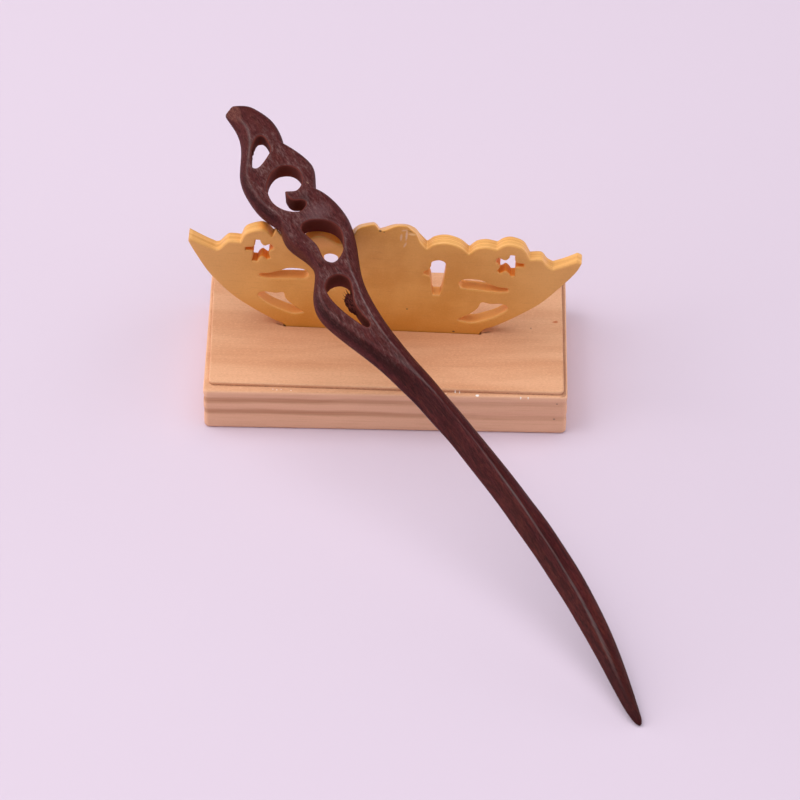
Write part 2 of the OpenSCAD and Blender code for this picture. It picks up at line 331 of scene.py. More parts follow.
# Width of the rounded slope inside each of those curves: x, width
LEFT_SLOPES = (
    ((0, 0.4), (9, 1.35), (20, 2.2), (45, 3.4), (60, 3.65), (75, 4.05), (93, 4.3), (100, 3.7),
     (107, 2.6), (118, 2.2), (123.5, 1.4), (129.5, 1), (135.5, 1.1), (139, 1), (142, 0.5)),
    ((142, 1.9), (149.5, 1.9), (156.5, 1.8), (162.5, 2.2), (167.5, 2.6), (172.5, 1.5), (174.5, 1)),
)
RIGHT_SLOPES = (
    ((0, 0.4), (9, 2.1), (20, 2.75), (45, 3.35), (60, 2.8), (75, 2.4), (90, 2.3), (112, 2.5),
     (118, 2.1), (120, 1.95), (124, 2.4), (129, 2.8), (133, 2), (141, 2), (146, 1)),
    ((146, 1.2), (158, 1.2), (160, 0.9)),
    ((160, 1.4), (172, 1.5), (174.5, 0.8)),
)
HALF_THICKNESS = (
    (0, 0.72), (2, 0.95), (9, 1.6), (20, 2.3), (35, 2.75), (50, 3), (70, 3.1), (150, 3.1),
    (160, 2.8), (168, 2.4), (173, 1.9), (174.5, 1.75),
)
# How full the slopes are: nearly flat faces meet in a ridge on the shaft, the head is rounder
CROWN_ROWS = ((0, 1.05), (95, 1.05), (112, 1.5), (174.5, 1.5))
# The nose: how far back from the point it is rounded, and the y that it runs out to
POINT_ROUND = 1.6
POINT_LINE = -0.25
# Rounding of the openings' rims, of the cut at the end and of the cut on the beak
RIM_ROUND = 0.32
END_ROUND = 0.2
FACET_ROUND = 0.08
# Height of the slow unevenness, and how many waves make it up
RIPPLE = 0.045
RIPPLE_COUNT = 9
# Limits that keep the distance to the skin sound far from it and in the middle of the wood
FIELD_LIMIT = 3.0
LEAST_STEEP = 0.25
# Marks for the finish along the stick: x, share. How strongly the right and left borders of the
# head's flat are rubbed bright, and how dark the shade is that is painted in the hollow of the left slope.
RIGHT_RUBBED = ((94, 0), (101, 0.8), (110, 1.2), (122, 1.2), (131, 0.2), (136, 0))
LEFT_RUBBED = (
    (100, 0), (106, 0.2), (111, 0.08), (118, 0.08), (122, 0.28), (127, 0), (142, 0), (146, 0.25),
    (156, 0.25), (164, 0.55), (170, 0.35), (173, 0),
)
HOLLOW_SHADE = (
    (4, 0), (20, 0.3), (80, 0.3), (98, 0.9), (120, 0.9), (126, 0), (142, 0), (146, 0.9), (154, 0.8),
    (162, 0),
)
RIDGE_SHARE = 0.08
# Width of the rubbed line beside the left and the right slope
RUBBED_WIDTH = (0.45, 0.35)

# The four openings of the head on its front face: x, y, 1 at a sharp corner
OPENINGS = (
    ((157.2, 2.3, 0), (158, 3.1, 0), (159.8, 2.45, 0), (162.1, 0.9, 0), (164, -1.35, 0),
     (163.6, -2.8, 0), (161.8, -3.1, 0), (159.6, -2.6, 0), (158.4, -1.1, 0), (157.5, 0.7, 0)),
    ((142.6, 0, 0), (144.1, 2.1, 0), (146.3, 3.5, 0), (148.7, 3.9, 0), (151.7, 3.1, 0),
     (153.9, 0.9, 0), (154.7, -1.8, 0), (153.5, -4.3, 0), (151.2, -5.3, 0), (148.7, -4.5, 0),
     (147.5, -2.3, 0), (148.7, 0.1, 1), (147, 0.2, 0), (145.7, -0.5, 0), (144.8, -2, 0),
     (143.7, -2.6, 0), (142.8, -1.6, 0)),
    ((127.6, -0.6, 0), (128.4, 0.9, 0), (130, 1.3, 0), (133, 0.9, 0), (135.8, 1.4, 0),
     (137.8, 1.9, 0), (139.3, 1.3, 0), (139.5, -0.6, 0), (138.3, -3, 0), (136.3, -4.9, 0),
     (133.8, -5.6, 0), (131.3, -4.9, 0), (128.9, -3.3, 0)),
    ((109.8, 1.5, 0), (110.8, 2.4, 0), (113.7, 3.5, 0), (117.1, 4.5, 0), (120.4, 5.1, 0),
     (123.3, 4.7, 0), (124.7, 2.7, 0), (124.2, 0.4, 0), (122.2, -0.8, 0), (119.7, -0.2, 0),
     (116.8, 1, 0), (113.5, 1.1, 0), (110.7, 0.7, 0)),
)
# Steps between two points of an opening, and how far from it the distance is worked out
OPENING_STEPS = 10
OPENING_REACH = 2.5

# Straight cuts at the head's end: a point on the cut, and the way it faces
END_CUT = ((173.5, 1.3, 0), (2.7, 1, 0))
BEAK_FACET = ((170, -1, 2.2), (0.2, 0.3, 0.93))
# Wood left rough at the back of the fourth opening: middle, and half sizes
ROUGH_LUMP = ((118.1, 0.4, -1.7), (2.8, 1.6, 1.5))
LUMP_BLEND = 0.25
LUMP_REACH = 6.0
# Its knobs, each the product of two waves: height, how they run in x and z, and in y and z
LUMP_KNOBS = ((0.14, (3.1, 1.7, 0), (2.6, -2.2, 0.7)), (0.09, (6.3, -4.1, 1), (5.2, 3.3, 0)))
# Chips broken out of the first opening's wall, from here down to the back: upper end, radius
CHIPS = (((162.3, 0.72, 0.7), 0.5), ((163.1, -0.2, 0.2), 0.28), ((161.4, 1.3, 0), 0.25))

# Splinters on the rough wood: root, tip, half width
SPLINTERS = (
    ((119.2, 1.2, -1.6), (120.7, 2, -1.3), 0.16), ((119.5, 1, -1.6), (121.6, 1.3, -1.3), 0.16),
    ((119.7, 0.6, -1.7), (122, 0.65, -1.6), 0.17), ((119.8, 0.1, -1.8), (122.3, -0.15, -1.8), 0.16),
    ((119.8, -0.1, -1.5), (122, -0.8, -1.3), 0.16), ((119.7, 0.3, -1.3), (122.4, 0.15, -1), 0.14),
)

# Grid that the skin is found on: its steps, where the finer one starts, and its ends
SHAFT_STEP = 0.5
HEAD_STEP = 0.27
HEAD_FROM = 104
END_MARGIN = 0.7
ACROSS_ENDS = (-10.0, 10.2)
THROUGH_ENDS = (-3.7, 3.8)


def edge_curve(rows, x):
    """Height and slope at x of a smooth curve through rows of x, y, slope, straight past its ends."""
    xs, ys, slopes = np.array(rows, float).T
    inside = np.clip(x, xs[0], xs[-1])
    i = np.clip(np.searchsorted(xs, inside, side="right") - 1, 0, len(xs) - 2)
    width = xs[i + 1] - xs[i]
    t = (inside - xs[i]) / width
    y = cubic(ys[i], ys[i + 1], width * slopes[i], width * slopes[i + 1], t)
    slope = (6 * (t * t - t) * (ys[i] - ys[i + 1]) / width + (3 * t * t - 4 * t + 1) * slopes[i]
             + (3 * t * t - 2 * t) * slopes[i + 1])
    return y + slope * (x - inside), slope


def slope_left_over(curves, widths, side, x, y):
    """How far short of the flat a spot still is, from 1 at the edge to 0, and that share's width."""
    best_share, best_width = None, None
    for rows, width_rows in zip(curves, widths):
        edge, slope = edge_curve(rows, x)
        width = through(width_rows, x)
        share = 1.0 - side * (edge - y) / np.sqrt(1.0 + slope**2) / width
        if best_share is None:
            best_share, best_width = share, width
        else:
            nearer = share < best_share
            best_share = np.where(nearer, share, best_share)
            best_width = np.where(nearer, width, best_width)
    return np.maximum(best_share, 0.0), best_width


def opening_depth(outline, x, y):
    """Distance to an opening's edge, positive inside it, no less than -OPENING_REACH."""
    depth = np.full(x.shape, -OPENING_REACH)
    low, high = outline.min(0) - OPENING_REACH, outline.max(0) + OPENING_REACH
    near = (x > low[0]) & (x < high[0]) & (y > low[1]) & (y < high[1])
    distance, inside = rim_distance(outline, np.stack([x[near], y[near]], axis=-1))
    depth[near] = np.maximum(np.where(inside, distance, -distance), -OPENING_REACH)
    return depth


OPENING_OUTLINES = [closed_curve(rows, OPENING_STEPS) for rows in OPENINGS]
RIPPLE_WAVES = [
    (rng.uniform(0.05, 0.5), rng.uniform(0.3, 1.1), rng.uniform(0.2, 0.8), rng.uniform(0, 6.28))
    for _ in range(RIPPLE_COUNT)
]


def ripple(x, y, z):
    """Slow unevenness that a knife and sandpaper leave."""
    total = sum(np.sin(a * x + b * y + c * z + d) for a, b, c, d in RIPPLE_WAVES)
    return RIPPLE * total / math.sqrt(RIPPLE_COUNT)


def plane(cut, x, y, z):
    """How far a spot lies outside a straight cut."""
    (px, py, pz), facing = cut
    facing = np.array(facing) / np.linalg.norm(facing)
    return (x - px) * facing[0] + (y - py) * facing[1] + (z - pz) * facing[2]


def lump_reach(x, y, z):
    """Distance from the middle of the rough lump, where 1 is its skin."""
    return np.sqrt(sum(((v - m) / size)**2 for v, m, size in zip((x, y, z), *ROUGH_LUMP)))


def slopes_at(x, y):
    """The nose's narrowing, and how much of each slope is left at a spot, with its width."""
    reach = np.clip(x / POINT_ROUND, 0.01, 1.0)
    nose = np.sqrt(1.0 - (1.0 - reach)**2)
    side = POINT_LINE + (y - POINT_LINE) / nose
    left = slope_left_over(LEFT_CURVES, LEFT_SLOPES, 1.0, x, side)
    right = slope_left_over(RIGHT_CURVES, RIGHT_SLOPES, -1.0, x, side)
    return nose, left, right


def stick_field(x, y, z):
    """About the distance to the stick's skin, negative in the wood."""
    x = x * (DRAWN_LENGTH / STICK_LENGTH)
    nose, (left, left_width), (right, right_width) = slopes_at(x, y)
    high = through(HALF_THICKNESS, x) * nose
    crown = np.interp(x, *np.array(CROWN_ROWS, float).T)
    value = (z / high)**2 + left**crown + right**crown - 1.0
    fall = left**(crown - 1) / left_width - right**(crown - 1) / right_width
    steep = np.sqrt((2 * z / high**2)**2 + (crown * fall / nose)**2)
    skin = np.clip(value / np.maximum(steep, LEAST_STEEP), -FIELD_LIMIT, FIELD_LIMIT)
    skin = round_and(skin, plane(END_CUT, x, y, z), END_ROUND)
    skin = round_and(skin, plane(BEAK_FACET, x, y, z), FACET_ROUND)
    for outline in OPENING_OUTLINES:
        skin = round_and(skin, opening_depth(outline, x, y), RIM_ROUND)
    middle, sizes = ROUGH_LUMP
    lump = (lump_reach(x, y, z) - 1.0) * min(sizes)
    for height, (a, b, c), (d, e, f) in LUMP_KNOBS:
        lump = lump + height * np.sin(a * x + b * z + c) * np.sin(d * y + e * z + f)
    rough = smooth_or(skin, np.maximum(lump, np.abs(z) - high), LUMP_BLEND)
    skin = np.where(np.abs(x - middle[0]) < LUMP_REACH, rough, skin)
    for (cx, cy, cz), radius in CHIPS:
        away = np.sqrt((x - cx)**2 + (y - cy)**2 + np.maximum(z - cz, 0.0)**2)
        skin = np.maximum(skin, radius - away)
    return np.where(x > 0.0, skin + ripple(x, y, z), FIELD_LIMIT)


def skin_of(field, axes):
    """Points and quads round the negative part of a field, one point in each cell that it crosses."""
    grid = field(*np.meshgrid(*axes, indexing="ij"))
    inside = grid < 0
    cells = tuple(n - 1 for n in grid.shape)
    total = np.zeros((*cells, 3))
    count = np.zeros(cells)
    edges = []
    for axis in range(3):
        low = tuple(slice(0, -1) if k == axis else slice(None) for k in range(3))
        high = tuple(slice(1, None) if k == axis else slice(None) for k in range(3))
        cut = np.argwhere(inside[low] != inside[high])
        one = grid[low][tuple(cut.T)]
        other = grid[high][tuple(cut.T)]
        spots = np.stack([axes[k][cut[:, k]] for k in range(3)], axis=-1)
        spots[:, axis] += one / (one - other) * (axes[axis][cut[:, axis] + 1] - axes[axis][cut[:, axis]])
        second, third = (axis + 1) % 3, (axis + 2) % 3
        around = []
        for back_second, back_third in ((1, 1), (0, 1), (0, 0), (1, 0)):
            cell = cut.copy()
            cell[:, second] -= back_second
            cell[:, third] -= back_third
            around.append(cell)
            np.add.at(total, tuple(cell.T), spots)
            np.add.at(count, tuple(cell.T), 1)
        edges.append((around, inside[low][tuple(cut.T)]))
    used = count > 0
    number = np.full(cells, -1)
    number[used] = np.arange(used.sum())
    quads = []
    for around, outward in edges:
        loop = np.stack([number[tuple(cell.T)] for cell in around], axis=-1)
        loop[~outward] = loop[~outward][:, ::-1]
        quads.append(loop)
    return total[used] / count[used][:, None], np.concatenate(quads)


def settle(field, points, rounds=3, step=0.02, furthest=0.15, least=0.05):
    """Moves points onto the field's zero surface."""
    for _ in range(rounds):
        here = field(*points.T)
        gradient = np.stack([
            (field(*(points + step * np.eye(3)[k]).T) - here) / step for k in range(3)
        ], axis=-1)
        size = np.maximum((gradient**2).sum(-1), least)
        points = points - np.clip(here / size, -furthest, furthest)[:, None] * gradient
    return points


def splinter(root, tip, width):
    """Points and triangles of a thin three-sided spike."""
    along = (tip - root) / np.linalg.norm(tip - root)
    aside = np.cross(along, (0.0, 0.0, 1.0))
    aside /= np.linalg.norm(aside)
    third = np.cross(along, aside)
    turns = (0.0, 2.1, 4.2)
    ring = [root + width * (math.cos(turn) * aside + math.sin(turn) * third) for turn in turns]
    return np.array([*ring, tip]), np.array([(0, 1, 3), (1, 2, 3), (2, 0, 3), (2, 1, 0)])


def stick_placement():
    """The stick leans back from its point on the surface to the plaque's top."""
    turned = Matrix.Rotation(LEAN, 4, "X") @ Matrix.Rotation(TURN, 4, "Z")
    return Matrix.Translation(POINT_AT) @ turned


def stick_marks(x, y, z):
    """Shares that the finish needs at points of the skin."""
    def along(rows):
        return np.interp(x, *np.array(rows, float).T)

    _, (left, _), (right, _) = slopes_at(x, y)
    _, (beside_left, _), _ = slopes_at(x, y + RUBBED_WIDTH[0])
    _, _, (beside_right, _) = slopes_at(x, y - RUBBED_WIDTH[1])
    front = z > 0
    flat = smoothstep(RIDGE_SHARE, 0.0, left + right) * front
    head = smoothstep(90.0, 104.0, x)
    rubbed = smoothstep(0.02, 0.2, beside_right) * smoothstep(0.15, 0.0, right) * along(RIGHT_RUBBED)
    rubbed += smoothstep(0.02, 0.25, beside_left) * smoothstep(0.3, 0.05, left) * along(LEFT_RUBBED)
    return {
        "depth": np.max([opening_depth(outline, x, y) for outline in OPENING_OUTLINES], axis=0),
        "facet": smoothstep(0.12, 0.02, np.abs(plane(BEAK_FACET, x, y, z))) * (x > 167.0),
        "flat": smoothstep(0.7, 0.0, left + right) * front * head,
        "ridge": np.maximum(flat * (1.0 - head) * smoothstep(4.0, 25.0, x), rubbed * front),
        # painted shade darkening the middle of the left slope
        "hollow_shade": smoothstep(0.1, 0.4, left) * smoothstep(0.95, 0.6, left) * along(HOLLOW_SHADE) * front,
        "rough": smoothstep(1.35, 1.0, lump_reach(x, y, z)),
    }


# The marks of the splinters; the others are 0 there
SPLINTER_MARKS = {"depth": -1.0, "rough": 1.0}


def make_stick(wood):
    along = np.concatenate([
        np.arange(-END_MARGIN, HEAD_FROM, SHAFT_STEP),
        np.arange(HEAD_FROM, STICK_LENGTH + END_MARGIN, HEAD_STEP),
    ])
    across, through_it = (np.arange(*ends, HEAD_STEP) for ends in (ACROSS_ENDS, THROUGH_ENDS))
    points, quads = skin_of(stick_field, (along, across, through_it))
    skin = Skin()
    skin.add(settle(stick_field, points), quads)
    x, y, z = skin.points.T
    marks = stick_marks(x * (DRAWN_LENGTH / STICK_LENGTH), y, z)
    for root, tip, width in SPLINTERS:
        skin.add(*splinter(np.array(root), np.array(tip), width))
    extra = len(skin.points) - len(x)
    marks = {
        name: np.append(values, np.full(extra, SPLINTER_MARKS.get(name, 0.0)))
        for name, values in marks.items()
    }
    return piece_from("carved_stick", skin, stick_placement(), wood, "hair_stick", marks)


# The plaque: u to the right of its middle, h up from the block's top, d back from its front

PLAQUE_THICK = 3.3
# Its middle, how it is rolled and turned, its front, its foot's depth and the block's top
PLAQUE_MIDDLE = -1.3
PLAQUE_ROLL = math.radians(1.6)
PLAQUE_YAW = math.radians(-1.95)
PLAQUE_FRONT = -0.3
FOOT_DEPTH = 4.3
FIELD_TOP = 12.9
# Its outline and openings: x, y, 1 at a sharp corner
PLAQUE_OUTLINE = (
    (-20.6, -7, 1), (-22.4, -1, 0), (-25.7, 1.2, 0), (-30.5, 4.5, 0), (-35.2, 8.4, 0),
    (-40, 14.2, 0), (-43.2, 20, 0), (-45.2, 24.3, 1), (-45.1, 25.4, 1), (-38.9, 22.3, 1),
    (-38, 22.7, 0), (-36.4, 24.8, 0), (-35.2, 25.2, 0), (-33.2, 25.1, 1), (-32, 27.9, 0),
    (-28.8, 29.4, 0), (-27.1, 28.9, 0), (-25.8, 27.3, 1), (-24.6, 27.5, 0), (-21.2, 26.4, 0),
    (-19.2, 25.6, 1), (-17.6, 27.2, 0), (-15.2, 27.7, 0), (-12.3, 26.8, 0), (-9.8, 25.9, 1),
    (-9, 27.2, 0), (-7.8, 28.5, 0), (-6.6, 29.8, 0), (-5.3, 30.5, 0), (-3.2, 31.1, 0),
    (-2.3, 30.7, 0), (-1.5, 29.4, 1), (-0.3, 29.9, 0), (1.2, 30.7, 0), (2.7, 31.1, 0),
    (4.6, 31.1, 0), (5.8, 30.7, 0), (6.8, 30, 0), (7.8, 28.6, 0), (9.5, 26.6, 1),
    (11.3, 28.2, 0), (14, 28.8, 0), (17, 27.8, 0), (19.2, 25.8, 1), (20.9, 27.6, 0),
    (23.1, 28.2, 0), (25.5, 27.7, 1), (27, 29, 0), (28.9, 29.4, 0), (31.6, 28.2, 0),
    (33.2, 25.1, 1), (35, 25.4, 0), (36.1, 25.1, 0), (37.2, 23.5, 0), (38.6, 22.6, 1),
    (42, 24.3, 0), (44, 25.4, 1), (45.1, 24.7, 1), (44, 22, 0), (41.5, 18.1, 0),
    (36.5, 11.5, 0), (30.8, 6.5, 0), (26.3, 3.2, 0), (23.2, 1, 0), (21.2, -7, 1),
)
# Cut-outs as drawn on the right half; the left half is its mirror but for the lower leaf
UPPER_LEAF = (
    (17.4, 16.3, 0), (18.6, 17.7, 0), (22, 17.8, 0), (24.6, 16.6, 0), (26.6, 15.8, 0),
    (28.6, 15.6, 0), (28.6, 14.6, 0), (26, 14.3, 0), (21, 14.7, 0), (18.2, 14.9, 0),
)
RIGHT_LOWER_LEAF = (
    (17.5, 4.6, 1), (20.4, 6.8, 0), (22, 8.6, 0), (22.9, 10.6, 0), (25, 10.3, 0),
    (27.6, 10.5, 0), (29, 9.2, 0), (26.6, 6.7, 0), (23.8, 5.1, 0), (20.8, 4, 0),
)
LEFT_LOWER_LEAF = (
    (18.3, 3.9, 1), (21.1, 6.3, 0), (22.6, 8.1, 0), (23.2, 9.9, 0), (25, 9.6, 0),
    (27.6, 9.8, 0), (29, 8.7, 0), (26.6, 6.2, 0), (23.8, 4.6, 0), (20.8, 3.5, 0),
)
DROP = (
    (12.3, 23.2, 0), (13.6, 22.8, 0), (14.1, 21.7, 0), (14, 19.5, 0), (13.7, 16, 0),
    (13.3, 13.2, 0), (13, 12.15, 1), (11.4, 12.1, 1), (11.1, 13.4, 0), (10.9, 16, 0),
    (10.5, 17.9, 0), (9.1, 18.6, 0), (9.3, 19.4, 0), (10.3, 20.1, 0), (10.7, 21.2, 0),
    (10.9, 22.5, 0),
)
# The pierced stars, each with five uneven arms: from the upper arm round to the right
LEFT_STAR = (
    (-29.8, 26.1, 1), (-28.75, 26.15, 1), (-28.45, 25.2, 0), (-27.7, 24.45, 0), (-26.3, 25.05, 1),
    (-25.65, 24.3, 0), (-25.85, 23.5, 0), (-26.7, 22.5, 0), (-26.3, 20.6, 1), (-27.05, 20.2, 1),
    (-28.1, 21.05, 0), (-28.9, 20.5, 0), (-29.4, 19.4, 1), (-30.5, 19.5, 1), (-30.2, 21.4, 0),
    (-30.35, 22.6, 0), (-32.05, 22.75, 1), (-32.05, 23.65, 1), (-30.3, 23.9, 0), (-29.8, 24.8, 0),
)
RIGHT_STAR = (
    (28.7, 26.2, 1), (29.8, 26.15, 1), (29.8, 24.9, 0), (30.3, 23.95, 0), (32, 23.75, 1),
    (31.95, 22.8, 1), (30.3, 22.6, 0), (30, 21.4, 0), (30.05, 19.7, 1), (29.1, 19.6, 1),
    (28.6, 20.5, 0), (27.8, 21.1, 0), (27, 20.5, 0), (26.5, 20.3, 1), (25.9, 21, 1),
    (26.55, 22.5, 0), (25.7, 23.6, 0), (25.55, 24.5, 0), (26.1, 25.2, 1), (27.5, 24.5, 0),
    (28.4, 25.1, 0),
)
# How much higher than the outline the front rim stands, and the back rim at the tips: u, height
FRONT_LIFT = (
    (-25.8, 0), (-25.5, 3.4), (-25.2, 5.2), (-24.8, 5), (-24.3, 3.2), (-23.6, 1.6), (-22.6, 0.4), (-21, 0),
    (-17.9, 0), (-17, 0.7), (-15.5, 1.55), (-14.1, 2.05), (-12.9, 2.25), (-12, 1.85), (-11, 1), (-10, 0),
    (-7.5, 0), (-6.6, 1.6), (-5.6, 2), (-3.9, 2.15), (-2.4, 2.35), (-1.5, 2.3), (0, 1.8), (1.3, 2.05),
    (2.7, 2.4), (4.7, 2.4), (5.8, 1.7), (7, 1.35), (7.9, 0.2), (8.7, 0),
)
BACK_LIFT = ((-45.2, 0.5), (-43, 0.2), (-41, 0), (41, 0), (43, 0.2), (45.1, 0.5))
# The front rim's lift starts at a height, is whole so much above it, and left of a place it
# falls off faster towards the back
LIFT_FROM = 24.0
LIFT_OVER = 5.0
FAST_FALL_LEFT_OF = -9.0
EDGE_ROUND = 0.4
EDGE_ROWS = (0.03, 0.1, 0.22, 0.4, 0.65)
OUTLINE_STEPS = 7
# How far apart the points of the flat faces are, and how far past the rounding the wall has a row
FACE_SPACING = 2.0
WALL_ROW = 0.25
# A row's point stays where the rim is at least this share of the row away, and the grid starts
# this share of its spacing behind the last row
ROW_SHARE = 0.93
GRID_SHARE = 0.3
SAME_POINT = 1e-7


def turned_so(outline, leftward):
    """The outline, run anticlockwise if leftward and else clockwise."""
    x, y = outline.T
    area = (x * np.roll(y, -1) - y * np.roll(x, -1)).sum()
    return outline if (area > 0) == leftward else outline[::-1]


def filled(loops, rows, spacing):
    """Flat triangles inside the first loop and outside the others, with rows of points along the rims.

    Gives the points, the triangles, each point's distance to every loop, and where each loop's
    points are.
    """
    def measured(spots):
        found = [rim_distance(loop, spots) for loop in loops]
        wood = found[0][1].copy()
        for _, inside in found[1:]:
            wood &= ~inside
        return np.stack([distance for distance, _ in found], axis=-1), wood

    spots, edges, starts = [], [], []
    for loop in loops:
        starts.append(sum(len(part) for part in spots))
        count = len(loop)
        edges += [(starts[-1] + i, starts[-1] + (i + 1) % count) for i in range(count)]
        spots.append(loop)
    extra = []
    for loop in loops:
        along = np.roll(loop, -1, axis=0) - np.roll(loop, 1, axis=0)
        inward = np.stack([-along[:, 1], along[:, 0]], axis=-1)
        inward /= np.linalg.norm(inward, axis=1)[:, None]
        for row in rows:
            candidates = loop + row * inward
            distances, wood = measured(candidates)
            extra.append(candidates[wood & (distances.min(1) > ROW_SHARE * row)])
    low, high = loops[0].min(0), loops[0].max(0)
    lines = [np.arange(low[k], high[k], spacing) for k in (0, 1)]
    grid = np.stack(np.meshgrid(*lines), axis=-1).reshape(-1, 2)
    distances, wood = measured(grid)
    extra.append(grid[wood & (distances.min(1) > rows[-1] + GRID_SHARE * spacing)])
    everything = np.concatenate(spots + extra)
    found = delaunay_2d_cdt([Vector(p) for p in everything], edges, [], 0, SAME_POINT)
    points = np.array([tuple(p) for p in found[0]])
    triangles = np.array(found[2])
    _, wood = measured(points[triangles].mean(1))
    where = {source: i for i, sources in enumerate(found[3]) for source in sources}
    rings = [np.array([where[start + i] for i in range(len(loop))]) for start, loop in zip(starts, loops)]
    return points, triangles[wood], measured(points)[0], rings


def rounding(distance, radius):
    """How far a rounded edge lies back from the face, at a distance from the rim."""
    left = radius - np.minimum(distance, radius)
    return radius - np.sqrt(radius**2 - left**2)


def plaque_placement():
    turned = Matrix.Rotation(PLAQUE_YAW, 4, "Z") @ Matrix.Translation((PLAQUE_MIDDLE, 0, 0))
    return Matrix.Translation((0, PLAQUE_FRONT, FIELD_TOP)) @ turned @ Matrix.Rotation(PLAQUE_ROLL, 4, "Y")


def rim_lift(u, d, h):
    """How far a spot of the plaque is drawn up where the top slopes from front to back."""
    top = np.clip((h - LIFT_FROM) / LIFT_OVER, 0.0, 1.0)**2
    share = d / PLAQUE_THICK
    fall = (1.0 - share)**np.where(u < FAST_FALL_LEFT_OF, 2.0, 1.0)
    front = np.interp(u, *np.array(FRONT_LIFT).T) * top * fall
    tips = np.interp(u, *np.array(BACK_LIFT).T) * share
    return front + tips


def make_plaque(wood):
    outline = turned_so(closed_curve(PLAQUE_OUTLINE, OUTLINE_STEPS), True)
    lowest = (outline[:, 0] * math.sin(PLAQUE_ROLL) - FOOT_DEPTH) / math.cos(PLAQUE_ROLL)
    outline[:, 1] = np.maximum(outline[:, 1], lowest)
    holes = [closed_curve(rows, OUTLINE_STEPS)
             for rows in (UPPER_LEAF, RIGHT_LOWER_LEAF, DROP, LEFT_STAR, RIGHT_STAR)]
    holes += [closed_curve(rows, OUTLINE_STEPS) * (-1, 1) for rows in (UPPER_LEAF, LEFT_LOWER_LEAF, DROP)]
    loops = [outline] + [turned_so(hole, False) for hole in holes]
    flat, triangles, distances, rings = filled(loops, EDGE_ROWS, FACE_SPACING)
    back = rounding(distances.min(1), EDGE_ROUND)
    skin = Skin()
    front = skin.add(np.insert(flat, 1, back, axis=1), triangles)
    rear = skin.add(np.insert(flat, 1, PLAQUE_THICK - back, axis=1), triangles[:, ::-1])
    levels = (EDGE_ROUND + WALL_ROW, PLAQUE_THICK / 2, PLAQUE_THICK - EDGE_ROUND - WALL_ROW)
    walls = []
    for ring in rings:
        between = [skin.add(np.insert(flat[ring], 1, level, axis=1)) for level in levels]
        rows = [front[ring], *between, rear[ring]]
        skin.join(rows[::-1])
        walls.append(np.concatenate(rows))
    opening = np.zeros(len(skin.points))
    opening[np.concatenate(walls[1:])] = 1.0
    skin.points[:, 2] += rim_lift(*skin.points.T)
    return piece_from(
        "pierced_plaque", skin, plaque_placement(), wood, "stand_plaque",
        {"opening": opening},
    )


# The block: x along it, y to the back, z up from its underside

BLOCK_WIDTH = 84
BLOCK_DEPTH = 41.2
LEDGE_HEIGHT = 11.9
CORNER_ROUND = 1.2
# Front-left, front-right, back-right and back-left: how far the field stands in from each corner
FIELD_INSETS = ((1.3, 2.1), (0.9, 0.8), (1, 1), (0.6, 1))
FIELD_ROUND = 0.35
# The slot: its ends, the gap round the plaque's foot, and its rounded rim
SLOT_X = (-24.25, 21.95)
SLOT_GAP = 0.15
SLOT_ROUND = 0.12
# Rows up the block's side: height, how far in from the block's outline, share of the way to the field
BLOCK_ROWS = (
    (0, 0.7, 0), (0.1, 0.4, 0), (0.3, 0.15, 0), (0.65, 0, 0), (1.5, 0, 0), (3.4, 0, 0), (4.2, 0.06, 0),
    (4.9, 0.12, 0), (5.6, 0.08, 0), (6.3, 0, 0), (7.6, 0, 0), (8.4, 0.06, 0), (9.3, 0.14, 0),
    (10.1, 0.08, 0), (10.8, 0, 0), (11.45, 0.02, 0), (11.7, 0.12, 0), (11.85, 0.3, 0), (11.9, 0.5, 0),
    (11.88, 0.1, 0.85), (11.86, 0, 0.97), (11.95, 0, 1), (12.2, 0, 1), (12.55, 0, 1),
)
CORNER_STEPS = 6
# How far apart points are along the sides, along the slot and on the field, and the rows of
# points beside the field's rims
SIDE_SPACING = 1.5
SLOT_SPACING = 1.0
FIELD_SPACING = 1.6
FIELD_ROWS = (0.03, 0.09, 0.18, 0.35, 0.6)


def rounded_box(corners, radius):
    """Closed outline of four corners, anticlockwise, each rounded."""
    outline = []
    for i, corner in enumerate(corners):
        back = corners[i - 1] - corner
        on = corners[(i + 1) % 4] - corner
        back, on = back / np.linalg.norm(back), on / np.linalg.norm(on)
        half = math.acos(back @ on) / 2
        between = (back + on) / np.linalg.norm(back + on)
        centre = corner + between * radius / math.sin(half)
        first = corner + back * radius / math.tan(half) - centre
        last = corner + on * radius / math.tan(half) - centre
        sweep = math.pi - 2 * half
        for share in np.linspace(0, 1, CORNER_STEPS):
            outline.append(centre + (first * math.sin(sweep * (1 - share)) + last * math.sin(sweep * share))
                           / math.sin(sweep))
    return np.array(outline)


